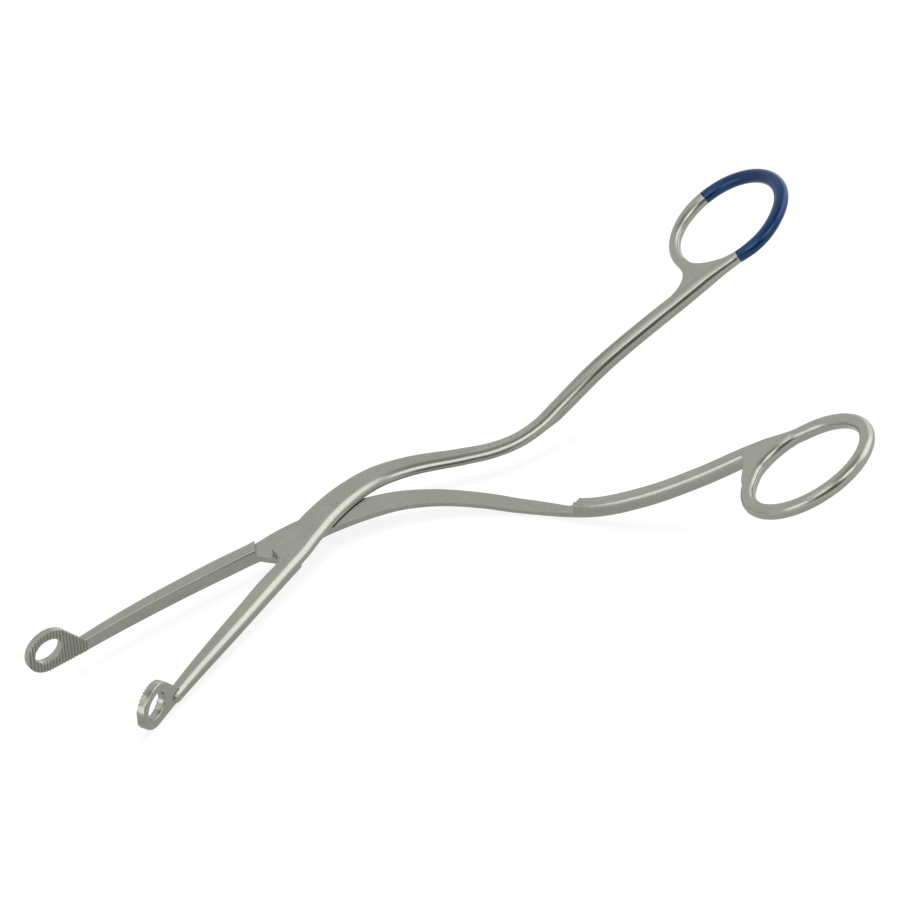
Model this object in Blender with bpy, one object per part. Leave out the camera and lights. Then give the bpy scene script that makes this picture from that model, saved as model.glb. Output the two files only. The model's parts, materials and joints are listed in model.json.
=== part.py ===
"""Magill forceps: two lapped steel halves on one pivot screw, with a lacquered thumb ring.

Every size is in millimetres and is turned into metres by MM. Each half is drawn in its own closed frame:
the pivot axis is Z with the front side up, the handle runs towards +X and the jaw towards -X.
"""
import math

import bmesh
import bpy
import numpy as np
from mathutils import Euler

MM = 0.001

# Driving dimensions
OPENING = 24.4              # degrees between the halves in the photo
REST_TURN = (9.748, -1.978, 0.0)  # degrees about X, Y, Z that lay the forceps down
PLATE = 2.4                 # thickness of one lapped half at the joint
LAP_GAP = 0.3               # clearance between the two lapped faces
FRONT_LAP_END = 80.0        # distance along the handle at which full thickness starts
BACK_LAP_END = 81.0
RELIEF_FROM = 45.0          # from here on the back half is cut back to let the front half close over it

# Centre line of each half, from the jaw pad through the pivot at the origin to the finger ring
FRONT_LINE = [(-76, -1.8, 0), (-61, -1.95, 0), (-49, -2.2, 0), (-37, -2.5, 0), (-25, -2.8, 0), (-12, -3.3, 0),
              (0, -1.8, 0), (10, -2.2, 0), (20, -4.0, 0), (29.5, -7.7, 0), (36.2, -12.8, 0), (46.7, -24.9, 0),
              (52, -30.9, 0.2), (58.1, -36, 1), (64.9, -39.8, 2.8), (71.9, -42.5, 5.5), (84.9, -48.9, 12.5),
              (97.3, -58.6, 21.6), (109, -70.8, 32.4), (116.4, -79.3, 39.2)]
BACK_LINE = [(-76, 1.6, 0), (-61, 2.7, 0), (-49, 3.3, 0), (-37, 3.5, 0), (-25, 3.4, 0), (-12, 2.8, 0),
             (0, 1.8, 0), (10, 0.8, 0), (20, -1.6, 0), (29, -5.1, 0), (36, -9.8, 0), (46.6, -21, 0),
             (50.9, -27.5, 0.2), (55, -34.2, 1), (58.1, -41.3, 2.8), (60.9, -48.4, 5.5), (68.1, -61, 12.5),
             (77.8, -73.4, 21.6), (89.3, -85.7, 32.4), (97.8, -94.3, 39.7)]
# Width and thickness of the bar: distance from the pivot along the line, negative in the jaw
BAR_SIZE = [(-76, 2.9, 2.7), (-70, 3.3, 2.9), (-61, 3.8, 3.3), (-49, 4.4, 3.8), (-37, 4.7, 4.2), (-25, 5.0, 4.6),
            (-12, 5.3, 4.8), (-6, 7.2, 4.8), (0, 8.3, 4.8), (10, 8.0, 4.8), (20, 7.4, 4.8), (30, 6.9, 4.8),
            (40, 6.2, 4.8), (50, 5.5, 4.8), (60, 5.0, 4.8), (70, 4.6, 4.8), (80, 4.5, 4.7), (95, 4.8, 4.7),
            (115, 4.8, 4.6), (135, 4.6, 4.5), (145, 4.2, 4.2), (154, 3.8, 3.8)]

# Section of the bar: a flat with a half-round ridge beside it. Past the lap the flat is lower than the ridge
CORNER = 0.35               # radius of the filed corner of the flat
ROUND = 1.05                # reach of the ridge in the lap, in half thicknesses
FLANGE_LEVEL = 0.8          # thickness of the flat over that of the ridge, past the lap
FRONT_CREASE = 0.52         # where flat and ridge meet past the lap, in half widths left of the centre
BACK_CREASE = -0.08
RIDGE_STOP = 19.0           # the back half's ridge ends this far before its ring's centre

# Finger ring
RING_BACK = 0.5             # ring centre before the end of the centre line
BAR_SHORT = 3.2             # the bar ends this far before the ring centre
RING_OUT = 17.9             # ring centre to the handle's straight centre line
RING_LONG = 17.2            # half length of the ring centre line
RING_WIDE = 16.5            # half width of it
FRONT_WIRE = 2.1            # wire radius of the front ring, lacquer included
BACK_WIRE = 2.3             # wire radius of the back ring
RING_TWIST = -3.3           # degrees that the ring's plane is turned about the bar
RING_BLEND = 26.0           # length over which the bar bends onto the wire
WEB_BACK = 24.0             # how far before the ring centre the web in the fork starts
WEB_LEVEL = 1.84            # half thickness of the web

# Jaw pad
PAD_AT = 81.4               # pad centre from the pivot
PAD_BACK = 5.4              # the bar's centre line ends this far behind the pad centre
JAW_FROM = -25.0            # where the part of the jaw starts that is stretched to reach the pad
PAD_LONG = 6.8              # half length
PAD_RISE = 9.6              # how far it rises above the bar's centre line
PAD_DROP = 1.4              # how far it goes below it
PAD_THICK = 2.5
NECK_LONG = 10.5            # the pad's neck reaches this far from the pad centre
NECK_RISE = 1.3             # top of the neck above the bar's centre line
NOSE = 4.0                  # rounded run-out of the bar on the pad
HOLE_LONG = 3.9             # half length of the oval opening
HOLE_TALL = 3.1             # half height of it
TOOTH_PITCH = 0.95
TOOTH_DEPTH = 0.35
TOOTH_COUNT = 17

# Lap plate and the shoulder that it meets
PLATE_CORNER = (-11.1, 3.0)
PLATE_FOOT = (-14.4, -1.5)
SHOULDER = (-15.8, -0.1)

# Pivot screw
SCREW_RADIUS = 1.6
SCREW_GAP = 0.3             # clearance all round it
SCREW_TOP = 1.9             # top of its blind hole above the lap plane
HEAD_RADIUS = 3.1
HEAD_TALL = 1.1
SLOT_WIDE = 0.7
SLOT_DEEP = 0.6
DIMPLE_RADIUS = 1.9
DIMPLE_DEEP = 0.07

# Lacquer on the far side of the front half's ring
COAT_THICK = 0.3
COAT_GAP = 0.2
COAT_FROM = -95.0           # degrees round the ring, 0 is the far end
COAT_TO = 99.0

CORNER_POINTS = 3           # points round the filed corner, along the flat and round the ridge
FLAT_POINTS = 2
RIDGE_POINTS = 6
STEP = 4.6                  # spacing of the loft sections
RING_SIDES = 16
RING_STEPS = 66


def new_collection(name, hidden=False):
    made = bpy.data.collections.new(name)
    bpy.context.scene.collection.children.link(made)
    made.hide_render = hidden
    return made


def material(name, colour, metallic, roughness):
    made = bpy.data.materials.new(name)
    made.use_nodes = True
    shader = made.node_tree.nodes["Principled BSDF"]
    shader.inputs["Base Color"].default_value = (*colour, 1.0)
    shader.inputs["Metallic"].default_value = metallic
    shader.inputs["Roughness"].default_value = roughness
    return made


def mesh_object(name, points, faces, collection, smooth=True):
    """One object from points in millimetres."""
    mesh = bpy.data.meshes.new(name)
    mesh.from_pydata([tuple(float(c) * MM for c in p) for p in points], [], faces)
    work = bmesh.new()
    work.from_mesh(mesh)
    bmesh.ops.recalc_face_normals(work, faces=work.faces)
    work.to_mesh(mesh)
    work.free()
    if smooth:
        mesh.shade_smooth()
    made = bpy.data.objects.new(name, mesh)
    collection.objects.link(made)
    if collection.hide_render:
        made.display_type = "WIRE"
    return made


def boolean(target, tool, operation):
    change = target.modifiers.new("cut", "BOOLEAN")
    change.operation = operation
    change.solver = "EXACT"
    change.object = tool
    apply_modifiers(target)
    bpy.data.objects.remove(tool)


def apply_modifiers(target):
    bpy.context.view_layer.update()
    seen = target.evaluated_get(bpy.context.evaluated_depsgraph_get())
    fresh = bpy.data.meshes.new_from_object(seen)
    target.modifiers.clear()
    target.data = fresh


def smooth_table(rows, at):
    """Values of a table at the distances asked for, through a smooth curve with no overshoot at the ends."""
    x = rows[:, 0]
    out = []
    for column in rows.T[1:]:
        slope = np.gradient(column, x)
        i = np.clip(np.searchsorted(x, at) - 1, 0, len(x) - 2)
        h = x[i + 1] - x[i]
        t = np.clip((at - x[i]) / h, 0, 1)
        out.append((2 * t**3 - 3 * t**2 + 1) * column[i] + (t**3 - 2 * t**2 + t) * h * slope[i]
                   + (3 * t**2 - 2 * t**3) * column[i + 1] + (t**3 - t**2) * h * slope[i + 1])
    return np.array(out)


def reaching_pad(rows):
    """A table by distance from the pivot, with the jaw's rows stretched so that the first lies at the pad."""
    rows = np.array(rows, float)
    jaw = rows[:, 0] < JAW_FROM
    stretch = (PAD_BACK - PAD_AT - JAW_FROM) / (rows[0, 0] - JAW_FROM)
    rows[jaw, 0] = JAW_FROM + (rows[jaw, 0] - JAW_FROM) * stretch
    return rows


class Bar:
    """Centre line of one half with a frame (along, left, up), a width and a thickness at each section."""

    def __init__(self, line, side):
        line = reaching_pad(line)
        run = np.concatenate([[0], np.cumsum(np.linalg.norm(np.diff(line, axis=0), axis=1))])
        run -= run[np.argmin(abs(line[:, 0]))]
        self.length = np.linspace(run[0], run[-1], int((run[-1] - run[0]) / STEP) + 1)
        self.points = smooth_table(np.column_stack([run, line]), self.length).T
        self.wide, self.thick = smooth_table(reaching_pad(BAR_SIZE), self.length)
        self.ring_at = run[-1] - RING_BACK
        self.set_frames()
        self.ring = self.ring_frame(side)
        bend = [(RING_OUT - RING_WIDE) * ease(at, self.ring_at - RING_BLEND, self.ring_at) for at in self.length]
        self.points = self.points + self.ring[2] * np.array(bend)[:, None]
        self.set_frames()

    def set_frames(self):
        step_along = np.gradient(self.points, axis=0)
        self.along = step_along / np.linalg.norm(step_along, axis=1)[:, None]
        left = np.stack([-self.along[:, 1], self.along[:, 0], 0 * self.along[:, 0]], 1)
        self.left = left / np.linalg.norm(left, axis=1)[:, None]
        self.up = np.cross(self.along, self.left)

    def ring_frame(self, side):
        """Centre and axes of the finger ring: along the handle, outwards and up."""
        point, along, left, up = self.frame(self.ring_at)
        twist = math.radians(RING_TWIST)
        out = side * (left * math.cos(twist) + up * math.sin(twist))
        return point + out * RING_OUT, along, out, side * np.cross(along, out)

    def frame(self, length):
        pick = lambda table: np.array([np.interp(length, self.length, table[:, k]) for k in range(3)])
        along = pick(self.along)
        along /= np.linalg.norm(along)
        left = pick(self.left)
        left -= along * left.dot(along)
        left /= np.linalg.norm(left)
        return pick(self.points), along, left, np.cross(along, left)


def loft(name, sections, collection):
    """A closed body through rings of points, capped at both ends."""
    sides = len(sections[0])
    points = [p for section in sections for p in section]
    faces = []
    for k in range(len(sections) - 1):
        for i in range(sides):
            j = (i + 1) % sides
            faces.append((k * sides + i, k * sides + j, (k + 1) * sides + j, (k + 1) * sides + i))
    faces.append(tuple(range(sides)))
    faces.append(tuple((len(sections) - 1) * sides + i for i in range(sides)))
    return mesh_object(name, points, faces, collection)


def ease(value, start, end):
    """0 before start, 1 after end, and a soft step between them."""
    t = min(max((value - start) / (end - start), 0), 1)
    return t**2 * (3 - 2 * t)


def half_outline(wide, tall, level, crease, share=1.0):
    """Upper half of the section from its flat end at +wide/2 to the ridge at -wide/2, as (across, up)."""
    top = level * tall / 2
    depth = math.sqrt(max(0, 1 - level**2))
    reach = (wide / 2 + crease) / (1 + depth)
    centre = reach - wide / 2
    points = [(wide / 2, 0)]
    for a in np.linspace(0, math.pi / 2, CORNER_POINTS):
        points.append((wide / 2 - CORNER + CORNER * math.cos(a), top - CORNER + CORNER * math.sin(a)))
    for k in range(1, FLAT_POINTS + 1):
        points.append((wide / 2 - CORNER + (crease - wide / 2 + CORNER) * k / FLAT_POINTS, top))
    for a in np.linspace(math.asin(level), math.pi, RIDGE_POINTS + 1)[1:]:
        lift = max(tall / 2 * math.sin(a), 0)
        points.append((centre + reach * math.cos(a), lift * share + min(lift, top) * (1 - share)))
    return np.array(points)


def whole_outline(upper, mirrored):
    """Both halves of the section, always turning the same way. mirrored puts the flat on the right."""
    points = np.concatenate([upper, upper[1:-1][::-1] * (1, -1)])
    if mirrored:
        points = np.roll(np.roll(points * (-1, 1), -(len(upper) - 1), axis=0)[::-1], 1, axis=0)
    return points


def bar_section(bar, k, side, lap_end, wire):
    """Section k of the bar. In the lap its flat looks at the other jaw, past it the flat is always on the left."""
    wide, tall, length = bar.wide[k], bar.thick[k], bar.length[k]
    low, high = (lap_end - 60, lap_end + 4) if side > 0 else (4, 50)
    past = ease(length, low, high)
    level = 1 - (1 - FLANGE_LEVEL) * ease(length, lap_end - 50, lap_end + 4)
    ending = max(0, length - bar.ring_at + RIDGE_STOP + 4) / 4 if side < 0 else 0
    share = math.sqrt(max(0, 1 - ending**2))
    crease = (FRONT_CREASE if side > 0 else BACK_CREASE) * wide / 2
    reach = min(ROUND * tall / 2, wide * 0.62)
    in_lap = whole_outline(half_outline(wide, tall, 1.0, reach - wide / 2), side < 0)
    ridged = whole_outline(half_outline(wide, tall, level, crease, share), False)
    points = in_lap * (1 - past) + ridged * past
    onto = ease(length, bar.ring_at - 14, bar.ring_at - 3)
    turned = points / np.linalg.norm(points, axis=1)[:, None] * wire * 0.94
    points = points * (1 - onto) + turned * onto
    return bar.points[k] + bar.left[k] * points[:, :1] + bar.up[k] * points[:, 1:]


def bar_body(name, bar, side, lap_end, wire, collection):
    """The whole bar from its rounded nose on the pad to its rounded end in the finger ring."""
    reach = [k for k in range(len(bar.length)) if bar.length[k] < bar.ring_at - BAR_SHORT]
    sections = [bar_section(bar, k, side, lap_end, wire) for k in reach]
    nose = []
    for part in (0.98, 0.85, 0.6, 0.3):
        scale = math.sqrt(1 - part**2)
        nose.append(bar.points[0] + (sections[0] - bar.points[0]) * scale - bar.along[0] * NOSE * part)
    tail = []
    last = reach[-1]
    for part in (0.4, 0.8, 0.98):
        scale = math.sqrt(1 - part**2)
        tip = bar.points[last] + bar.along[last] * bar.wide[last] / 2 * part
        tail.append(tip + (sections[-1] - bar.points[last]) * scale)
    return loft(name, nose + sections + tail, collection)


def prism(name, outline, low, high, collection, axes=((1, 0, 0), (0, 1, 0), (0, 0, 1)), origin=(0, 0, 0)):
    """A flat outline carried along the third axis from low to high."""
    axes = np.array(axes, float)
    base = np.array(origin, float)
    place = lambda a, b, c: base + axes[0] * a + axes[1] * b + axes[2] * c
    n = len(outline)
    points = [place(a, b, low) for a, b in outline] + [place(a, b, high) for a, b in outline]
    faces = [tuple(range(n)), tuple(range(n, 2 * n))]
    faces += [(i, (i + 1) % n, n + (i + 1) % n, n + i) for i in range(n)]
    return mesh_object(name, points, faces, collection, smooth=False)


def oval(half_long, half_tall, count, centre=(0.0, 0.0)):
    turn = [2 * math.pi * k / count for k in range(count)]
    return [(centre[0] + half_long * math.cos(a), centre[1] + half_tall * math.sin(a)) for a in turn]


def ring_point(frame, angle):
    centre, along, out, up = frame
    return centre + along * RING_LONG * math.cos(angle) + out * RING_WIDE * math.sin(angle)


def ring_section(frame, angle, radius):
    """Round wire, pressed down to the level of the web where the web meets it."""
    centre, along, out, up = frame
    radial = along * math.cos(angle) * RING_WIDE + out * math.sin(angle) * RING_LONG
    radial /= np.linalg.norm(radial)
    degrees = math.degrees(angle) % 360
    pressed = ease(degrees, 186, 204) * (1 - ease(degrees, 252, 264))
    tall = radius + (min(radius, WEB_LEVEL + 0.04) - radius) * pressed
    middle = ring_point(frame, angle)
    turns = [2 * math.pi * k / RING_SIDES for k in range(RING_SIDES)]
    return [middle + radial * math.cos(a) * radius + up * math.sin(a) * tall for a in turns]


def finger_ring(name, frame, wire, coat, collection):
    """The wire ring. Under the lacquer the wire is thinner by the coat and its clearance."""
    sections = []
    thin = wire - COAT_THICK - COAT_GAP
    edges = [math.radians(COAT_FROM), math.radians(COAT_TO)]
    start = math.radians(180)
    angles = [start + 2 * math.pi * k / RING_STEPS for k in range(RING_STEPS)]
    if coat:
        angles = [a for a in angles if min(abs(a - 2 * math.pi - e) for e in edges) > 0.03]
        angles += [e + 2 * math.pi for e in edges] * 2
        angles.sort()
    seen = {}
    for a in angles:
        seen[a] = seen.get(a, 0) + 1
        inside = edges[0] < a - 2 * math.pi < edges[1]
        at_edge = min(abs(a - 2 * math.pi - e) for e in edges) < 1e-9
        if at_edge and coat:
            first = seen[a] == 1
            entering = abs(a - 2 * math.pi - edges[0]) < 1e-9
            inside = first != entering
        sections.append(ring_section(frame, a, thin if coat and inside else wire))
    sides = RING_SIDES
    points = [p for section in sections for p in section]
    faces = []
    count = len(sections)
    for k in range(count):
        for i in range(sides):
            j = (i + 1) % sides
            after = (k + 1) % count
            faces.append((k * sides + i, k * sides + j, after * sides + j, after * sides + i))
    return mesh_object(name, points, faces, collection)


def lacquer(name, frame, collection):
    """The blue coat: a thin shell round the far side of the ring's wire."""
    count = 36
    angles = np.radians(np.linspace(COAT_FROM, COAT_TO, count))
    trim = 0.004
    angles = np.linspace(angles[0] + trim, angles[-1] - trim, count)
    outside = [ring_section(frame, a, FRONT_WIRE) for a in angles]
    inside = [ring_section(frame, a, FRONT_WIRE - COAT_THICK) for a in angles]
    sides = RING_SIDES
    points = [p for s in outside for p in s] + [p for s in inside for p in s]
    shift = count * sides
    faces = []
    for k in range(count - 1):
        for i in range(sides):
            j = (i + 1) % sides
            loop = (k * sides + i, k * sides + j, (k + 1) * sides + j, (k + 1) * sides + i)
            faces.append(loop)
            faces.append(tuple(shift + v for v in reversed(loop)))
    for k in (0, count - 1):
        for i in range(sides):
            j = (i + 1) % sides
            faces.append((k * sides + i, k * sides + j, shift + k * sides + j, shift + k * sides + i))
    return mesh_object(name, points, faces, collection)


def web(name, bar, frame, side, collection):
    """Flat filling of the fork between the ring and the handle bar."""
    a, along_a, left_a, up = bar.frame(bar.ring_at - WEB_BACK)
    near = math.radians(202)
    far = math.radians(262)
    steps = 6
    edge = [ring_point(frame, near + (far - near) * k / steps) for k in range(steps + 1)]
    start = a + left_a * side * 0.6
    knee = (start + edge[0]) / 2 - left_a * side * 2.6 + along_a * 3.0
    curve = [start * (1 - t)**2 + knee * 2 * t * (1 - t) + edge[0] * t**2 for t in np.linspace(0, 1, 8)[:-1]]
    outline = curve + edge
    thick = 2 * WEB_LEVEL
    n = len(outline)
    points = [p - up * thick / 2 for p in outline] + [p + up * thick / 2 for p in outline]
    faces = [tuple(range(n)), tuple(range(n, 2 * n))]
    faces += [(i, (i + 1) % n, n + (i + 1) % n, n + i) for i in range(n)]
    return mesh_object(name, points, faces, collection, smooth=False)


def pad(name, side, collection):
    """The fenestrated pad: an oval plate on the lower edge of the bar, with a neck that curves into it."""
    tall = (PAD_RISE + PAD_DROP) / 2
    middle = PAD_RISE - tall
    turns = np.radians(np.linspace(-16, 270, 38))
    outline = [(-PAD_AT + PAD_LONG * math.cos(a), middle + tall * math.sin(a)) for a in turns]
    outline.append((-PAD_AT + NECK_LONG, NECK_RISE - 2.6))
    outline.append((-PAD_AT + NECK_LONG, NECK_RISE))
    outline += [(-PAD_AT + PAD_LONG + a, NECK_RISE + b) for a, b in ((2.2, 0.03), (1.2, 0.16), (0.4, 0.55))]
    inner_face = 0.0
    outer_face = -side * PAD_THICK
    low, high = sorted((inner_face, outer_face))
    made = prism(name, outline, low, high, collection, axes=((1, 0, 0), (0, 0, 1), (0, 1, 0)))
    return made, middle


def pad_hole(side, middle, collection):
    outline = oval(HOLE_LONG, HOLE_TALL, 28, (-PAD_AT - 0.4, middle))
    return prism("hole", outline, -4, 4, collection, axes=((1, 0, 0), (0, 0, 1), (0, 1, 0)))


def teeth(side, collection):
    """One comb of V grooves across the inner face."""
    tip = -PAD_AT - PAD_LONG - TOOTH_PITCH
    outline = [(tip, side * 1.5)]
    half = TOOTH_PITCH / 2
    for k in range(TOOTH_COUNT):
        x = tip + TOOTH_PITCH * (k + 0.5)
        outline += [(x, side * 0.02), (x + half, -side * TOOTH_DEPTH)]
    last = tip + TOOTH_PITCH * (TOOTH_COUNT + 0.5)
    outline += [(last, side * 0.02), (last, side * 1.5)]
    return prism("comb", outline, -PAD_DROP - 2, PAD_RISE + 2, collection)


def lap_cutters(bar, side, lap_end, collection):
    """Everything on the other half's side of the lap plane, from the shoulder to the end of the lap."""
    face = side * LAP_GAP / 2
    deep = -side * 9.0
    low, high = sorted((face, deep))
    dx = PLATE_CORNER[0] - PLATE_FOOT[0]
    dy = PLATE_CORNER[1] - PLATE_FOOT[1]
    size = math.hypot(dx, dy)
    along = (dx / size, dy / size)
    mirror = -side
    first = (SHOULDER[0] - along[0] * 12, mirror * (SHOULDER[1] - along[1] * 12))
    second = (SHOULDER[0] + along[0] * 14, mirror * (SHOULDER[1] + along[1] * 14))
    outline = [first, second, (12, second[1]), (12, first[1])]
    block = prism("block", outline, low, high, collection)
    sections = []
    for length in np.linspace(2.0, lap_end, 30):
        point, forward, left, up = bar.frame(length)
        corners = ((-9, face), (9, face), (9, deep), (-9, deep))
        sections.append([point + left * a + up * b for a, b in corners])
    return block, loft("sweep", sections, collection)


def relief(over, collection):
    """What the closed front half needs of the back half's room past the joint."""
    sections = []
    for length in np.linspace(RELIEF_FROM, FRONT_LAP_END + 2, 14):
        point, forward, left, up = over.frame(length)
        corners = ((-4.4, -LAP_GAP / 2), (4.4, -LAP_GAP / 2), (4.4, 9), (-4.4, 9))
        sections.append([point + left * a + up * b for a, b in corners])
    return loft("relief", sections, collection)


def lap_plate(side, collection):
    """The broad half-thickness plate at the joint, with its square end towards the jaws."""
    low, high = sorted((side * LAP_GAP / 2, side * PLATE))
    outline = [(PLATE_FOOT[0], side * (PLATE_FOOT[1] - 1.2)), (PLATE_FOOT[0], side * PLATE_FOOT[1]),
               (PLATE_CORNER[0], side * PLATE_CORNER[1]), (3.0, side * (PLATE_CORNER[1] - 0.7)),
               (6.0, -side * 0.5), (0.0, -side * 3.2), (-8.0, -side * 3.8)]
    return prism("plate", outline, low, high, collection)


def cylinder(name, radius, low, high, collection, sides=40):
    return prism(name, oval(radius, radius, sides), low, high, collection)


def dimple(collection):
    """A shallow ball-shaped cutter for the mark that the screw leaves in the front face."""
    ball = (DIMPLE_RADIUS**2 + DIMPLE_DEEP**2) / (2 * DIMPLE_DEEP)
    rows = []
    turns = 28
    for radius in (0.01, 0.7, 1.4, DIMPLE_RADIUS):
        height = PLATE - DIMPLE_DEEP + ball - math.sqrt(ball**2 - radius**2)
        rows.append([(radius * math.cos(2 * math.pi * k / turns), radius * math.sin(2 * math.pi * k / turns), height)
                     for k in range(turns)])
    rows.append([(x, y, PLATE + 1) for x, y, _ in rows[-1]])
    return loft("dimple", rows, collection)


def pivot_screw(metal, collection, cutters):
    """Slotted screw: its head is on the back and its shank ends in the blind hole of the front half."""
    under = -PLATE - SCREW_GAP
    body = cylinder("pivot_screw", SCREW_RADIUS, under - HEAD_TALL / 2, SCREW_TOP - SCREW_GAP, collection)
    rows = []
    for radius, height in ((HEAD_RADIUS - 0.35, under - HEAD_TALL), (HEAD_RADIUS - 0.08, under - HEAD_TALL + 0.15),
                           (HEAD_RADIUS, under - HEAD_TALL + 0.4), (HEAD_RADIUS, under)):
        rows.append([(x, y, height) for x, y in oval(radius, radius, 40)])
    boolean(body, loft("head", rows, cutters), "UNION")
    half_slot = SLOT_WIDE / 2
    slot = [(-5, -half_slot), (5, -half_slot), (5, half_slot), (-5, half_slot)]
    boolean(body, prism("slot", slot, under - HEAD_TALL - 1, under - HEAD_TALL + SLOT_DEEP, cutters), "DIFFERENCE")
    body.data.materials.clear()
    body.data.materials.append(metal)
    return body


def half(name, side, line, lap_end, wire, coat, metal, collection, cutters):
    bar = Bar(line, side)
    body = bar_body(name, bar, side, lap_end, wire, collection)
    for tool in lap_cutters(bar, side, lap_end, cutters):
        boolean(body, tool, "DIFFERENCE")
    if side < 0:
        boolean(body, relief(Bar(FRONT_LINE, 1), cutters), "DIFFERENCE")
    boolean(body, lap_plate(side, cutters), "UNION")
    hole = SCREW_RADIUS + SCREW_GAP
    if side > 0:
        boolean(body, cylinder("hole", hole, -1, SCREW_TOP, cutters), "DIFFERENCE")
        boolean(body, dimple(cutters), "DIFFERENCE")
    else:
        boolean(body, cylinder("hole", hole, -PLATE - 1, 1, cutters), "DIFFERENCE")
    boolean(body, finger_ring("ring", bar.ring, wire, coat, cutters), "UNION")
    boolean(body, web("web", bar, bar.ring, side, cutters), "UNION")
    plate, middle = pad("pad", side, cutters)
    boolean(body, plate, "UNION")
    boolean(body, pad_hole(side, middle, cutters), "DIFFERENCE")
    boolean(body, teeth(side, cutters), "DIFFERENCE")
    body.data.materials.clear()
    body.data.materials.append(metal)
    return body, bar


def main():
    for thing in list(bpy.data.objects):
        bpy.data.objects.remove(thing)
    parts = new_collection("magill_forceps")
    cutters = new_collection("cutters", hidden=True)
    steel = material("satin_steel", (0.45, 0.45, 0.43), 1.0, 0.32)
    screw_steel = material("screw_steel", (0.46, 0.46, 0.44), 1.0, 0.26)
    blue = material("blue_lacquer", (0.01, 0.04, 0.16), 0.0, 0.15)

    root = bpy.data.objects.new("magill_forceps_rest", None)
    parts.objects.link(root)
    root.rotation_euler = Euler([math.radians(a) for a in REST_TURN])
    joints = {}
    for name, side in (("front", 1), ("back", -1)):
        empty = bpy.data.objects.new(name + "_pivot", None)
        parts.objects.link(empty)
        empty.parent = root
        empty.rotation_euler = (0, 0, math.radians(side * OPENING / 2))
        joints[name] = empty

    front, front_bar = half("front_half", 1, FRONT_LINE, FRONT_LAP_END, FRONT_WIRE, True, steel, parts, cutters)
    back, _ = half("back_half", -1, BACK_LINE, BACK_LAP_END, BACK_WIRE, False, steel, parts, cutters)
    front.parent = joints["front"]
    back.parent = joints["back"]
    coat = lacquer("blue_ring_coat", front_bar.ring, parts)
    coat.data.materials.append(blue)
    coat.parent = joints["front"]
    screw = pivot_screw(screw_steel, parts, cutters)
    screw.parent = joints["front"]
    lay_down(root, (front, back, coat, screw))


def lay_down(root, pieces):
    """Move the whole so that the middle of its bounding box's underside is at the origin."""
    bpy.context.view_layer.update()
    spots = np.array([piece.matrix_world @ v.co for piece in pieces for v in piece.data.vertices])
    low, high = spots.min(axis=0), spots.max(axis=0)
    root.location = (-(low[0] + high[0]) / 2, -(low[1] + high[1]) / 2, -low[2])


main()
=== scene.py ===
# %% [markdown]
# Magill forceps, dressed for a picture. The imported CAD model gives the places: two steel halves that cross
# at a pivot screw, and a blue coat on one finger ring. This file loads it, builds finer meshes for the same
# four pieces, gives them ground steel and lacquer, and sets up a small white studio round them.

import json
import math

import bmesh
import bpy
import numpy as np
from mathutils import Euler, Matrix, Vector


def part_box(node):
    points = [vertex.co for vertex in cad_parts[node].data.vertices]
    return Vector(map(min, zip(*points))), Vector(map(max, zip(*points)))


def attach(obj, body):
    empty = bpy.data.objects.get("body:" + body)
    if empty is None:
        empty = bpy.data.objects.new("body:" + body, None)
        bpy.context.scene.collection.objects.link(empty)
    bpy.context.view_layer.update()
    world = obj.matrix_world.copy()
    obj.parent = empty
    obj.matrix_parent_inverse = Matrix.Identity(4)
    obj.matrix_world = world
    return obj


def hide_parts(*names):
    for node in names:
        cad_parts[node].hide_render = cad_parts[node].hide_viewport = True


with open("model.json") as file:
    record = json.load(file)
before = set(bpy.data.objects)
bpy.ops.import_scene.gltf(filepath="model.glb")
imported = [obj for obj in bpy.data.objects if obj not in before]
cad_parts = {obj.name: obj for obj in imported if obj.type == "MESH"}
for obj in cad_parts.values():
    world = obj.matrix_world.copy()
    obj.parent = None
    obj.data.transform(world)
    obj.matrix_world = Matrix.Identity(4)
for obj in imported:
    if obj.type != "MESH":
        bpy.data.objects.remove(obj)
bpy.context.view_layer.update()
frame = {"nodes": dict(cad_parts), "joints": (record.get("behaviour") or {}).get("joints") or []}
pivot = Vector(frame["joints"][0]["pos_m"])
axis = Vector(frame["joints"][0]["axis"])
print("pivot at", tuple(round(c * 1000, 2) for c in pivot), "mm, axis", tuple(round(c, 4) for c in axis))

# %% [markdown]
# Everything on a pair of forceps is easiest to draw when it is closed and lies straight. So each half is
# drawn in millimetres with its pivot at the origin, its handle along +X and its jaw along -X, and is turned
# by half of the opening angle afterwards. A second turn lays the whole thing down on the table as the CAD
# model lies there. A side of 1 is the front half and -1 the back half, all through this file.

# %% Places and turns
MM = 0.001
OPENING = 24.4                      # degrees between the halves
REST_TURN = (9.748, -1.978, 0.0)    # degrees about X, Y and Z that lay the pair down on the table
LAID = Euler([math.radians(a) for a in REST_TURN]).to_matrix().to_4x4()


def placing(side):
    """The matrix that takes a half from its own drawing to the table."""
    swing = Matrix.Rotation(math.radians(side * OPENING / 2), 4, "Z")
    return Matrix.Translation(pivot) @ LAID @ swing


print("axis from the turns", tuple(round(c, 4) for c in LAID.to_3x3().col[2]))

# %% [markdown]
# The shape of a forged half is a line with a section that changes along it. The tables give the points of
# the centre line from the pad to the finger ring, and the width and thickness of the bar at distances from
# the pivot. A smooth curve goes through the rows, so a few rows are enough.

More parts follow.
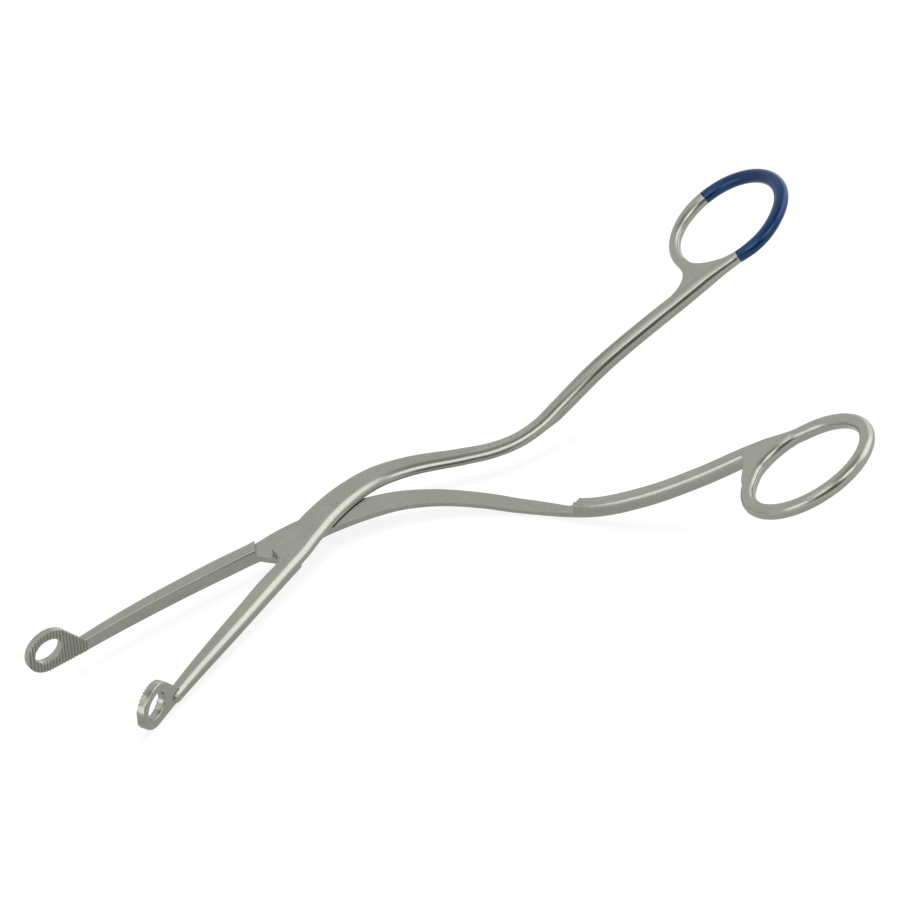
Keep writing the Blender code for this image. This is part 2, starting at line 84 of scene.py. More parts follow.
# %% Centre lines and bar sizes
# along, left and up of each point
FRONT_LINE = [(-76, -1.8, 0.45), (-61, -1.95, 0.4), (-49, -2.2, 0.25), (-37, -2.5, 0.1), (-25, -2.8, 0),
              (-12, -3.3, 0), (0, -1.8, 0), (10, -2.2, 0), (20, -4.0, 0), (29.5, -7.7, 0), (36.2, -12.8, 0),
              (46.7, -24.9, 0), (52, -30.9, 0.2), (58.1, -36, 1), (64.9, -39.8, 2.8), (71.9, -42.5, 5.5),
              (84.9, -48.9, 12.5), (97.3, -58.6, 21.6), (109, -70.8, 32.4), (116.4, -79.3, 39.2)]
BACK_LINE = [(-76, 1.6, 0.45), (-61, 2.7, 0.4), (-49, 3.3, 0.25), (-37, 3.5, 0.1), (-25, 3.4, 0),
             (-12, 2.8, 0), (0, 1.8, 0), (10, 0.8, 0), (20, -1.6, 0), (29, -5.1, 0), (36, -9.8, 0),
             (46.6, -21, 0), (50.9, -27.5, 0.2), (55, -34.2, 1), (58.1, -41.3, 2.8), (60.9, -48.4, 5.5),
             (68.1, -61, 12.5), (77.8, -73.4, 21.6), (89.3, -85.7, 32.4), (97.8, -94.3, 39.7)]
# distance from the pivot along the line, width and thickness
BAR_SIZE = [(-76, 3.2, 3.6), (-70, 3.5, 3.8), (-61, 3.9, 4.1), (-49, 4.4, 4.3), (-37, 4.7, 4.4),
            (-25, 5.0, 4.6), (-12, 5.3, 4.8), (-6, 7.2, 4.8), (0, 8.3, 4.8), (10, 8.0, 4.8), (20, 7.4, 4.8),
            (30, 6.9, 4.8), (40, 6.2, 4.8), (50, 5.5, 4.8), (60, 5.0, 4.8), (70, 4.6, 4.8), (80, 4.5, 4.7),
            (95, 4.8, 4.7), (115, 4.8, 4.6), (135, 4.6, 4.5), (145, 4.2, 4.2), (154, 3.8, 3.8)]
STEP = 0.5                  # spacing of the sections
RING_BACK = 0.5             # ring centre before the end of the centre line
RING_OUT = 17.9             # ring centre to the handle's straight centre line
RING_LONG = 17.2            # half length of the ring's centre line
RING_WIDE = 16.5            # half width of it
RING_TWIST = -3.3           # degrees that the ring's plane is turned about the bar
RING_BLEND = 26.0           # length over which the bar bends onto the wire


def smooth_table(rows, at):
    """Values of a table at the distances asked for, on a smooth curve through its rows."""
    rows = np.array(rows, float)
    x = rows[:, 0]
    i = np.clip(np.searchsorted(x, at) - 1, 0, len(x) - 2)
    h = x[i + 1] - x[i]
    t = np.clip((at - x[i]) / h, 0, 1)
    out = []
    for column in rows.T[1:]:
        slope = np.gradient(column, x)
        out.append((2 * t**3 - 3 * t**2 + 1) * column[i] + (t**3 - 2 * t**2 + t) * h * slope[i]
                   + (3 * t**2 - 2 * t**3) * column[i + 1] + (t**3 - t**2) * h * slope[i + 1])
    return np.array(out)


def ease(value, start, end):
    """0 before start, 1 after end, and a soft step between them."""
    t = np.clip((value - start) / (end - start), 0, 1)
    return t**2 * (3 - 2 * t)


class Bar:
    """Centre line of one half with a frame (along, left, up), a width and a thickness at each section."""

    def __init__(self, line, side):
        line = np.array(line, float)
        run = np.concatenate([[0], np.cumsum(np.linalg.norm(np.diff(line, axis=0), axis=1))])
        run -= run[np.argmin(abs(line[:, 0]))]
        self.side = side
        self.length = np.linspace(run[0], run[-1], int((run[-1] - run[0]) / STEP) + 1)
        self.points = smooth_table(np.column_stack([run, line]), self.length).T
        self.wide, self.thick = smooth_table(BAR_SIZE, self.length)
        self.ring_at = run[-1] - RING_BACK
        self.set_frames()
        self.ring = self.ring_frame()
        self.bend = ease(self.length, self.ring_at - RING_BLEND, self.ring_at)
        self.points = self.points + self.ring[2] * ((RING_OUT - RING_WIDE) * self.bend)[:, None]
        self.set_frames()

    def set_frames(self):
        run = np.gradient(self.points, axis=0)
        self.along = run / np.linalg.norm(run, axis=1)[:, None]
        left = np.stack([-self.along[:, 1], self.along[:, 0], 0 * self.along[:, 0]], 1)
        self.left = left / np.linalg.norm(left, axis=1)[:, None]
        self.up = np.cross(self.along, self.left)

    def frame(self, length):
        """Point, along, left and up at any distance from the pivot."""
        pick = lambda table: np.array([np.interp(length, self.length, table[:, k]) for k in range(3)])
        along = pick(self.along)
        along /= np.linalg.norm(along)
        left = pick(self.left)
        left -= along * left.dot(along)
        left /= np.linalg.norm(left)
        return pick(self.points), along, left, np.cross(along, left)

    def ring_frame(self):
        """Centre and axes of the finger ring: along the handle, outwards and up."""
        point, along, left, up = self.frame(self.ring_at)
        twist = math.radians(RING_TWIST)
        out = self.side * (left * math.cos(twist) + up * math.sin(twist))
        return point + out * RING_OUT, along, out, self.side * np.cross(along, out)


front_bar = Bar(FRONT_LINE, 1)
back_bar = Bar(BACK_LINE, -1)
for name, bar in (("front", front_bar), ("back", back_bar)):
    print(name, "bar from", round(bar.length[0]), "to", round(bar.length[-1]), "mm, ring centre",
          bar.ring[0].round(1))

# %% [markdown]
# Two helpers make the raw bodies: a loft joins rings of points that all have the same number of points, and
# a prism carries a flat outline straight up. Both close their ends, because a Boolean needs closed bodies.
# The workshop collection holds the tools that are used up on the way.

# %% Mesh helpers
workshop = bpy.data.collections.new("workshop")
bpy.context.scene.collection.children.link(workshop)


def mesh_object(name, points, faces):
    mesh = bpy.data.meshes.new(name)
    mesh.from_pydata([tuple(float(c) * MM for c in p) for p in points], [], faces)
    work = bmesh.new()
    work.from_mesh(mesh)
    bmesh.ops.recalc_face_normals(work, faces=work.faces)
    work.to_mesh(mesh)
    work.free()
    made = bpy.data.objects.new(name, mesh)
    workshop.objects.link(made)
    return made


def loft(name, sections, closed=False):
    sides = len(sections[0])
    count = len(sections)
    faces = []
    for k in range(count if closed else count - 1):
        after = (k + 1) % count
        for i in range(sides):
            j = (i + 1) % sides
            faces.append((k * sides + i, k * sides + j, after * sides + j, after * sides + i))
    if not closed:
        faces.append(tuple(range(sides)))
        faces.append(tuple((count - 1) * sides + i for i in range(sides)))
    return mesh_object(name, [p for section in sections for p in section], faces)


def prism(name, outline, low, high):
    return loft(name, [[(x, y, z) for x, y in outline] for z in (low, high)])


def oval(half_long, half_tall, count, centre=(0.0, 0.0)):
    turns = [2 * math.pi * k / count for k in range(count)]
    return [(centre[0] + half_long * math.cos(a), centre[1] + half_tall * math.sin(a)) for a in turns]


def bake_modifiers(body):
    bpy.context.view_layer.update()
    fresh = bpy.data.meshes.new_from_object(body.evaluated_get(bpy.context.evaluated_depsgraph_get()))
    body.modifiers.clear()
    body.data = fresh
    return body


def boolean(body, tool, operation):
    change = body.modifiers.new("cut", "BOOLEAN")
    change.operation = operation
    change.solver = "EXACT"
    change.object = tool
    bake_modifiers(body)
    bpy.data.objects.remove(tool)


def rounded(body, width):
    """Break the sharp edges of a tool before it is used, as a file would."""
    change = body.modifiers.new("edge", "BEVEL")
    change.width = width * MM
    change.segments = 3
    change.limit_method = "ANGLE"
    change.angle_limit = math.radians(40)
    return bake_modifiers(body)


# %% [markdown]
# The section of the bar isn't the same all along, but it always has three parts: a flat, a half-round ridge
# that catches the long highlights, and a filed corner at the far end of the flat. In the jaws and the lap the
# flat is as high as the ridge. Past the lap the forging die left it a little lower, so a crease runs along
# the handle, with a fine groove in it. Both kinds are written as the same number of points in the same
# order, upper half first, so a blend of the two is plain mixing, and the crease stays on one line of points.

# %% The section of the bar
FLANGE_LEVEL = 0.8                  # flange thickness over ridge thickness
CREASE = {1: 0.52, -1: -0.08}       # where flange and ridge meet, in half widths left of the centre
LAP_END = {1: 80.0, -1: 81.0}       # where the half-thickness lap turns into the whole bar
RIDGED = {1: (20, 84), -1: (4, 50)}  # the lap's kind of section turns into the ridged kind between these
SUNK_AT = {1: 4, -1: -8}            # the flange is at its full depth this far past the end of the lap
ONTO_WIRE = (14, 3)                 # it turns into the wire's oval between these, before the ring's centre
RIDGE_STOP = 19.0                   # the back half's ridge ends this far before its ring's centre
RIDGE_RUNOUT = 1.6                  # length over which that ridge sinks into the bar
CORNER = 0.35                       # size of the filed corner
CORNER_ROUND = 0.4                  # 1 is a quarter round, 0 a straight chamfer
WEB_LEVEL = 1.84                    # half thickness of the web in the fork of a ring
WEB_REST = 0.04                     # the pressed wire stands this much above the web
ROUND = 1.05                        # reach of the ridge in the lap, in half thicknesses
GROOVE = 0.22                       # depth of the fine line between flange and ridge
CREASE_LONG = 50.0                  # length over which the flange sinks below the ridge
JOIN_AT, JOIN_SCALE = 268, 0.9      # the bar ends inside the ring's wire at this angle, a little slimmer
SIDE_POINTS, CORNER_POINTS, FLAT_POINTS, RIDGE_POINTS = 3, 6, 5, 16


def half_outline(wide, tall, level, crease, share=1.0):
    """Upper half of the section from its flat end at +wide/2 to the ridge at -wide/2, as (across, up).
    A share below 1 presses the ridge down towards the flange."""
    corner = min(CORNER, level * tall / 4)
    top = level * tall / 2
    depth = math.sqrt(max(0, 1 - level**2))
    reach = (wide / 2 + crease) / (1 + depth)
    centre = reach - wide / 2
    points = [(wide / 2, (top - corner) * k / SIDE_POINTS) for k in range(SIDE_POINTS)]
    for a in np.linspace(0, math.pi / 2, CORNER_POINTS):
        straight = a / (math.pi / 2)
        along = math.cos(a) * CORNER_ROUND + (1 - straight) * (1 - CORNER_ROUND)
        rise = math.sin(a) * CORNER_ROUND + straight * (1 - CORNER_ROUND)
        points.append((wide / 2 - corner + corner * along, top - corner + corner * rise))
    groove = GROOVE * (1 - level) / (1 - FLANGE_LEVEL) * share
    flat = wide / 2 - corner
    for k in range(1, FLAT_POINTS):
        points.append((flat + (crease + groove - flat) * k / (FLAT_POINTS - 1), top))
    points.append((crease, top - groove))
    start = math.asin(level)
    for a in np.linspace(start, math.pi, RIDGE_POINTS + 1)[1:]:
        lift = max(tall / 2 * math.sin(a), 0)
        if share < 1:
            lift = lift * share + min(lift, top) * (1 - share)
        points.append((centre + reach * math.cos(a), lift))
    return np.array(points)


def whole_outline(upper, mirrored):
    """Both halves of the section, always turning the same way. mirrored puts the flat on the right."""
    lower = upper[1:-1][::-1] * (1, -1)
    points = np.concatenate([upper, lower])
    if mirrored:
        points = np.roll(points * (-1, 1), -(len(upper) - 1), axis=0)[::-1]
        points = np.roll(points, 1, axis=0)
    return points


def lap_outline(wide, tall, side):
    """Flat on the side of the other jaw, round on the outside."""
    reach = min(ROUND * tall / 2, wide * 0.62)
    return whole_outline(half_outline(wide, tall, 1.0, reach - wide / 2), side < 0)


def wire_sizes(side, degrees, radius):
    """Half width and half height of the wire at degrees round the ring, counted from its far end, and how
    far its middle lies outside the ring's line."""
    near = ease(degrees, 110, 150) * (1 - ease(degrees, 262, 280))
    fork = ease(degrees, 192, 215) * (1 - ease(degrees, 248, 266))
    if side > 0:
        lean = ease(degrees, 235, 262) * (1 - ease(degrees, 285, 320))
        wide, tall, shift = radius - 0.5 * near - 0.6 * fork, radius * 0.88, 0.5 * lean
    else:
        wide, tall, shift = radius - 0.3 - 0.35 * fork, radius * 0.87, 0.3 + 0.35 * fork
    pressed = ease(degrees, 186, 204) * (1 - ease(degrees, 252, 264))
    return wide, tall + (min(tall, WEB_LEVEL + WEB_REST) - tall) * pressed, shift


def bar_section(bar, k, wire):
    """One ring of points of the bar: the lap's section, then the ridged one, then the oval of the wire."""
    side, wide, tall, length = bar.side, bar.wide[k], bar.thick[k], bar.length[k]
    past = ease(length, *RIDGED[side])
    level = 1 - (1 - FLANGE_LEVEL) * ease(length, LAP_END[side] - CREASE_LONG, LAP_END[side] + SUNK_AT[side])
    share = 1.0
    if side < 0:
        run = length - (bar.ring_at - RIDGE_STOP - RIDGE_RUNOUT)
        share = math.sqrt(max(0, 1 - max(0, run / RIDGE_RUNOUT)**2))
    flat_round = lap_outline(wide, tall, side)
    ridged = whole_outline(half_outline(wide, tall, level, CREASE[side] * wide / 2, share), False)
    points = flat_round * (1 - past) + ridged * past
    onto = ease(length, bar.ring_at - ONTO_WIRE[0], bar.ring_at - ONTO_WIRE[1])
    end_wide, end_tall, shift = wire_sizes(side, JOIN_AT, wire)
    oval_end = np.array((end_wide, end_tall)) * JOIN_SCALE
    turned = points / np.linalg.norm(points, axis=1)[:, None] * oval_end - (side * shift, 0)
    points = points * (1 - onto) + turned * onto
    return bar.points[k] + bar.left[k] * points[:, :1] + bar.up[k] * points[:, 1:]


BAR_SHORT = 3.2                     # the bar ends this far before the ring's centre
BAR_FROM = -72.5                    # the full bar starts here, beside the pad
NOSE = 2.2                          # length of the rounded run-out at both ends of the bar


def bar_body(name, bar, wire):
    """The whole bar with a rounded nose on the pad and a rounded tail inside the ring's wire."""
    reach = [k for k in range(len(bar.length)) if BAR_FROM < bar.length[k] < bar.ring_at - BAR_SHORT]
    sections = [bar_section(bar, k, wire) for k in reach]
    first = reach[0]
    nose, tail = [], []
    for part in (0.98, 0.93, 0.85, 0.72, 0.55, 0.38, 0.2):
        scale = math.sqrt(1 - part**2)
        middle = bar.points[first]
        nose.append(middle + (sections[0] - middle) * scale - bar.along[first] * NOSE * part)
    last = reach[-1]
    for part in (0.2, 0.4, 0.6, 0.8, 0.92, 0.98):
        scale = math.sqrt(1 - part**2)
        middle = bar.points[last]
        tail.append(middle + (sections[-1] - middle) * scale + bar.along[last] * NOSE * part)
    return loft(name, nose + sections + tail)


# %% [markdown]
# The finger ring is a bent wire, oval in plan, and slimmer where it comes near the bar. Where the web fills
# the fork between ring and bar, the forged wire is as flat as the web on top, so its section is pressed down
# there. Under the lacquer the wire is thinner by the coat and a little clearance, as it is in the CAD model.
# The web's free edge is a curve through four control points, along the handle and outwards from the ring's
# centre, so that it leaves the bar and meets the ring without a corner.

# %% Finger ring
WIRE = {1: 2.1, -1: 2.3}            # radius of the wire before it is pressed and slimmed
COAT_THICK, COAT_GAP = 0.3, 0.2
COAT_FROM, COAT_TO = -96.5, 99.0    # degrees round the ring, 0 is the far end
RING_SIDES = 36
RING_STEPS = 200
WEB_ARC = (200, 262)                # the web reaches the ring between these angles
WEB_UNDER = 1.2                     # its first corner lies this deep in the bar
WEB_ROUND = 0.5                     # radius of its edge
WEB_EDGE = {1: ((-27.0, -16.3), (-20.3, -16.1), (-16.6, -12.6), (-17.9, -6.6)),
            -1: ((-20.4, -16.6), (-19.0, -15.0), (-19.1, -10.5), (-19.2, -6.0))}


def ring_point(ring, angle):
    centre, along, out, up = ring
    return centre + along * RING_LONG * math.cos(angle) + out * RING_WIDE * math.sin(angle)


def ring_section(ring, angle, radius, side=1):
    """One ring of points round the wire."""
    centre, along, out, up = ring
    radial = along * math.cos(angle) * RING_WIDE + out * math.sin(angle) * RING_LONG
    radial /= np.linalg.norm(radial)
    wide, tall, shift = wire_sizes(side, math.degrees(angle) % 360, radius)
    turns = 2 * math.pi * np.arange(RING_SIDES) / RING_SIDES
    middle = ring_point(ring, angle)
    return middle + radial * (shift + np.cos(turns) * wide)[:, None] + up * (np.sin(turns) * tall)[:, None]


def finger_ring(bar):
    """The wire ring. The front one has a step at both ends of the lacquer."""
    wire = WIRE[bar.side]
    angles = [math.pi + 2 * math.pi * k / RING_STEPS for k in range(RING_STEPS)]
    sections = [(a, wire) for a in angles]
    if bar.side > 0:
        first, last = [math.radians(a) + 2 * math.pi for a in (COAT_FROM, COAT_TO)]
        thin = wire - COAT_THICK - COAT_GAP
        sections = [(a, thin if first < a < last else wire) for a in angles
                    if min(abs(a - first), abs(a - last)) > 0.012]
        sections += [(first, wire), (first + 1e-6, thin), (last - 1e-6, thin), (last, wire)]
    return loft("ring", [ring_section(bar.ring, a, r, bar.side) for a, r in sorted(sections)], closed=True)


def web(bar):
    """Flat filling of the fork between the ring and the bar, with a hollow free edge."""
    centre, along, out, up = bar.ring
    edge = [ring_point(bar.ring, math.radians(a)) for a in np.linspace(*WEB_ARC, 18)]
    pull = np.array(WEB_EDGE[bar.side])
    curve = []
    path = [pull[0] * (1 - t)**3 + pull[1] * 3 * t * (1 - t)**2 + pull[2] * 3 * t**2 * (1 - t)
            + pull[3] * t**3 for t in np.linspace(0, 1, 30)]
    onward = pull[3] + (pull[3] - pull[2]) / np.linalg.norm(pull[3] - pull[2]) * 4.0
    into = np.array((-RING_LONG, 1.5))
    path += [pull[3] * (1 - t)**2 + onward * 2 * t * (1 - t) + into * t**2 for t in np.linspace(0, 1, 12)[1:]]
    for a, b in path:
        lift = (bar.frame(bar.ring_at + a)[0] - centre).dot(up)
        curve.append(centre + along * a + out * b + up * lift)
    outline = [curve[0] - out * WEB_UNDER] + curve + edge
    return rounded(loft("web", [[p + up * z for p in outline] for z in (-WEB_LEVEL, WEB_LEVEL)]), WEB_ROUND)


# %% [markdown]
# The jaw pad is a thin oval plate that stands on edge, with an oval window and fine cross grooves on its
# inner face. Its lower edge runs on along the bar, and a straight slope leads back up to the oval. The window
# and the rim are drawn with a rounded edge, and the comb of grooves is cut last, so that its ridges stay
# sharp.

# %% Jaw pad
PAD_AT = 81.4               # pad centre from the pivot
PAD_LONG = 6.75             # half length of the oval
PAD_RISE = 10.9             # top of the oval above the centre line
PAD_DROP = 1.3              # its bottom below it
PAD_TALL = (PAD_RISE + PAD_DROP) / 2
PAD_MIDDLE = PAD_RISE - PAD_TALL
PAD_THICK = 2.5
SLOPE_FROM = 36.0           # degrees round the oval where the straight slope to the bar leaves it
NECK_LONG = 11.2            # the slope reaches the bar this far from the pad's centre
NECK_RISE = 2.0             # and this far above the centre line
HOLE_LONG = 4.1             # half length and half height of the window
HOLE_TALL = 3.4
HOLE_CENTRE = (-PAD_AT - 0.3, PAD_MIDDLE + 0.2)
HOLE_RIM = 0.4              # radius of the window's rounded rim
TOOTH_PITCH = 0.95
TOOTH_DEPTH = 0.42
TOOTH_TIP = 0.02            # the comb's roots stay this far off the pad's face
TOOTH_COUNT = 20
RIM = ((0.0, 1.0), (0.08, 0.62), (0.3, 0.28), (0.62, 0.08), (1.0, 0.0))     # a quarter round: depth, drawn in
INNER_RIM = 0.2             # radius of the rounded edge on the toothed face
OUTER_RIM = {1: 0.4, -1: 0.9}


def pad_outline():
    """The oval, its lower edge running on along the bar, and a straight slope back up to the oval."""
    turns = np.radians(np.linspace(SLOPE_FROM, 270, 80))
    outline = [(-PAD_AT + PAD_LONG * math.cos(a), PAD_MIDDLE + PAD_TALL * math.sin(a)) for a in turns]
    outline += [(-PAD_AT + NECK_LONG * k / 8, -PAD_DROP + 0.1 * k / 8) for k in range(1, 9)]
    top = np.array((-PAD_AT + NECK_LONG, NECK_RISE))
    slope = np.array(outline[0]) - top
    return np.array(outline + [tuple(top + slope * k / 12) for k in range(12)])


def drawn_in(outline, by):
    """The outline moved inwards."""
    run = np.roll(outline, -1, axis=0) - np.roll(outline, 1, axis=0)
    run = run / np.linalg.norm(run, axis=1)[:, None]
    return outline + np.stack([-run[:, 1], run[:, 0]], 1) * by


def pad(side):
    """The plate with a rounded rim on both faces, standing on edge beside the jaw."""
    outline = pad_outline()
    rows = [(depth * INNER_RIM, draw * INNER_RIM) for depth, draw in RIM]
    rows += [(PAD_THICK - depth * OUTER_RIM[side], draw * OUTER_RIM[side]) for depth, draw in reversed(RIM)]
    return loft("pad", [[(x, -side * depth, z) for x, z in drawn_in(outline, draw)] for depth, draw in rows])


def pad_window(side):
    """A cutter that is flared at both faces, so that the rim of the window comes out rounded."""
    rim = [(depth * HOLE_RIM, draw * HOLE_RIM) for depth, draw in RIM]
    rows = rim + [(PAD_THICK - depth, draw) for depth, draw in reversed(rim)]
    rows = [(-1.0, 0.5)] + rows + [(PAD_THICK + 1.0, 0.5)]
    ovals = [(depth, oval(HOLE_LONG + grow, HOLE_TALL + grow, 72, HOLE_CENTRE)) for depth, grow in rows]
    return loft("window", [[(x, -side * depth, z) for x, z in line] for depth, line in ovals])


def teeth(side):
    """The comb that cuts the cross grooves into the inner face."""
    start = -PAD_AT - PAD_LONG - TOOTH_PITCH
    outline = [(start, side * 1.5)]
    for k in range(TOOTH_COUNT):
        x = start + TOOTH_PITCH * (k + 0.5)
        outline += [(x, side * TOOTH_TIP), (x + TOOTH_PITCH / 2, -side * TOOTH_DEPTH)]
    last = start + TOOTH_PITCH * (TOOTH_COUNT + 0.5)
    outline += [(last, side * TOOTH_TIP), (last, side * 1.5)]
    return prism("comb", outline, -PAD_DROP - 2, PAD_RISE + 2)


# %% [markdown]
# At the joint each half is ground away to half of its thickness, so that the two lie flat on each other. The
# broad plate round the pivot ends square towards the jaws and meets a shoulder on the other half. Where the
# handles begin to rise and part, the back half is relieved, so that the front half can close over it. The
# screw goes in from the back; on the front only a faint round mark shows where its end was ground flush.

# %% Lap joint
PLATE = 2.4                 # thickness of one lapped half
LAP_GAP = 0.3
LAP_RUNOUT = 11.0           # the front half's lap runs out over this length, the back half's ends in a step
LAP_DEEP = 9.0              # reach of the lap's cutters sideways and away from the lap plane
PLATE_CORNER = (-11.1, 3.0)         # along and across, the ends of the plate's square edge
PLATE_FOOT = (-14.4, -1.5)
SHOULDER = (-15.8, -0.1)            # the other half's plate stops at a line through this point
PLATE_ROUND = 0.2                   # radius of the plate's broken edge
SCREW_RADIUS = 1.6
SCREW_GAP = 0.3
SCREW_TOP = 1.9             # the screw's blind hole ends here in the front half
DIMPLE_RADIUS = 1.9
DIMPLE_DEEP = 0.07
RELIEF_FROM = 45.0          # where the relief starts, along the front bar
# the relief's outline across and above the front bar: flat under the bar, with a ramp on the back half's side
RELIEF = ((4.4, -0.1), (-2.6, -0.1), (-4.0, 1.15), (-4.0, 9.0), (4.4, 9.0))


def lap_cutters(bar):
    """Everything on the other half's side of the lap plane, from the shoulder to the end of the lap."""
    side = bar.side
    face, deep = side * LAP_GAP / 2, -side * LAP_DEEP
    low, high = sorted((face, deep))
    slope = np.subtract(PLATE_CORNER, PLATE_FOOT)
    slope = slope / np.linalg.norm(slope)
    first = (SHOULDER[0] - slope[0] * 12, -side * (SHOULDER[1] - slope[1] * 12))
    second = (SHOULDER[0] + slope[0] * 14, -side * (SHOULDER[1] + slope[1] * 14))
    block = prism("block", [first, second, (12, second[1]), (12, first[1])], low, high)
    sections = []
    for length in np.linspace(2.0, LAP_END[side] + (LAP_RUNOUT if side > 0 else 0), 72):
        point, along, left, up = bar.frame(length)
        edge = face - side * 2.8 * ease(length, LAP_END[side] - 1, LAP_END[side] + LAP_RUNOUT)
        corners = ((-LAP_DEEP, edge), (LAP_DEEP, edge), (LAP_DEEP, deep), (-LAP_DEEP, deep))
        sections.append([point + left * a + up * b for a, b in corners])
    return block, loft("sweep", sections)


def relief():
    """Room in the back half for the front half's bar when the pair is closed."""
    sections = []
    for length in np.linspace(RELIEF_FROM, LAP_END[1] + 2, 28):
        point, along, left, up = front_bar.frame(length)
        sections.append([point + left * a + up * b for a, b in RELIEF])
    return loft("relief", sections)


def lap_plate(side):
    """The broad half-thickness plate round the pivot."""
    low, high = sorted((side * LAP_GAP / 2, side * PLATE))
    outline = [(PLATE_FOOT[0], side * (PLATE_FOOT[1] - 1.2)), (PLATE_FOOT[0], side * PLATE_FOOT[1]),
               (PLATE_CORNER[0], side * PLATE_CORNER[1]), (3.0, side * (PLATE_CORNER[1] - 0.7)),
               (6.0, -side * 0.5), (0.0, -side * 3.1), (-8.0, -side * 3.1)]
    return rounded(prism("plate", outline, low, high), PLATE_ROUND)


def dimple():
    """A shallow ball-shaped cutter for the mark of the screw in the front face."""
    ball = (DIMPLE_RADIUS**2 + DIMPLE_DEEP**2) / (2 * DIMPLE_DEEP)
    rows = []
    for radius in (0.01, 0.5, 1.0, 1.5, DIMPLE_RADIUS):
        height = PLATE - DIMPLE_DEEP + ball - math.sqrt(ball**2 - radius**2)
        rows.append([(x, y, height) for x, y in oval(radius, radius, 48)])
    rows.append([(x, y, PLATE + 1) for x, y, _ in rows[-1]])
    return loft("dimple", rows)


# %% Put each half together
def half(name, bar):
    side = bar.side
    body = bar_body(name, bar, WIRE[side])
    for tool in lap_cutters(bar):
        boolean(body, tool, "DIFFERENCE")
    if side < 0:
        boolean(body, relief(), "DIFFERENCE")
    boolean(body, lap_plate(side), "UNION")
    hole = oval(SCREW_RADIUS + SCREW_GAP, SCREW_RADIUS + SCREW_GAP, 48)
    boolean(body, prism("hole", hole, *((-1, SCREW_TOP) if side > 0 else (-PLATE - 1, 1))), "DIFFERENCE")
    if side > 0:
        boolean(body, dimple(), "DIFFERENCE")
    boolean(body, finger_ring(bar), "UNION")
    boolean(body, web(bar), "UNION")
    boolean(body, pad(side), "UNION")
    boolean(body, pad_window(side), "DIFFERENCE")
    boolean(body, teeth(side), "DIFFERENCE")
    print(name, len(body.data.polygons), "faces")
    return body


front_steel = half("front_half_forging", front_bar)
back_steel = half("back_half_forging", back_bar)

# %% [markdown]
# The coat is a thin shell round the far side of the front ring. Its ends are rounded a little, as lacquer
# pulls back at a masked edge. The screw is a turned piece: a rounded head with a driver slot and a plain
# shank that ends in the front half.

# %% Lacquer and screw
HEAD_RADIUS = 3.1
HEAD_TALL = 1.1
SLOT_WIDE = 0.7
SLOT_DEEP = 0.6


def lacquer(ring):
    """A shell that stands off the wire by the coat's clearance and is drawn in at both ends."""
    low, high = math.radians(COAT_FROM) + 0.004, math.radians(COAT_TO) - 0.004
    trim = 0.012
    outer = [(low, -0.1), (low + trim * 0.3, -0.03), (low + trim, 0.0)]
    outer += [(a, 0.0) for a in np.linspace(low, high, 150)[2:-2]]
    outer += [(high - trim, 0.0), (high - trim * 0.3, -0.03), (high, -0.1)]
    outside = [ring_section(ring, a, WIRE[1] + grow) for a, grow in outer]
    inside = [ring_section(ring, a, WIRE[1] - COAT_THICK) for a, _ in reversed(outer)]
    return loft("blue_ring_lacquer", outside + inside, closed=True)


def screw():
    under = -PLATE - SCREW_GAP
    profile = [(HEAD_RADIUS - 0.45, under - HEAD_TALL), (HEAD_RADIUS - 0.2, under - HEAD_TALL + 0.06),
               (HEAD_RADIUS - 0.06, under - HEAD_TALL + 0.2), (HEAD_RADIUS, under - HEAD_TALL + 0.4),
               (HEAD_RADIUS, under - 0.12), (HEAD_RADIUS - 0.12, under), (SCREW_RADIUS, under),
               (SCREW_RADIUS, SCREW_TOP - SCREW_GAP - 0.2), (SCREW_RADIUS - 0.2, SCREW_TOP - SCREW_GAP)]
    body = loft("pivot_screw_turned", [[(x, y, z) for x, y in oval(r, r, 72)] for r, z in profile])
    slot = [(-5, -SLOT_WIDE / 2), (5, -SLOT_WIDE / 2), (5, SLOT_WIDE / 2), (-5, SLOT_WIDE / 2)]
    boolean(body, prism("slot", slot, under - HEAD_TALL - 1, under - HEAD_TALL + SLOT_DEEP), "DIFFERENCE")
    return body


blue_coat = lacquer(front_bar.ring)
turned_screw = screw()
print("coat", len(blue_coat.data.polygons), "faces, screw", len(turned_screw.data.polygons), "faces")

# %% [markdown]
# Now each piece goes to its place on the table. The turn is written into the mesh, so that the object itself
# stays at the origin like the CAD nodes. Faces that meet at more than a small angle stay crisp and the rest
# is shaded smooth.

# %% Place the pieces and let them ride
PIECES = [(front_steel, 1, "front", "front_half", "front_steel"),
          (back_steel, -1, "back", "back_half", "back_steel"),
          (blue_coat, 1, "front", "blue_ring_coat", "blue_lacquer"),
          (turned_screw, 1, "front", "pivot_screw", "screw_steel")]
for piece, side, body, node, slot in PIECES:
    piece.data.transform(placing(side))
    piece.data.shade_smooth()
    piece.data.set_sharp_from_angle(angle=math.radians(35))
    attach(piece, body)
    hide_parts(node)
    low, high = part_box(node)
    spots = [v.co for v in piece.data.vertices]
    off = max(max(low[k] - min(s[k] for s in spots), max(s[k] for s in spots) - high[k]) for k in range(3))
    print(piece.name, "stands proud of its CAD node by at most", round(off * 1000, 2), "mm")


# %% [markdown]
# The materials are sums and mixes of a few patterns. To write them as plain arithmetic, a small class wraps
# one socket of a node and gives it the usual operators. Each operator adds one Math node.

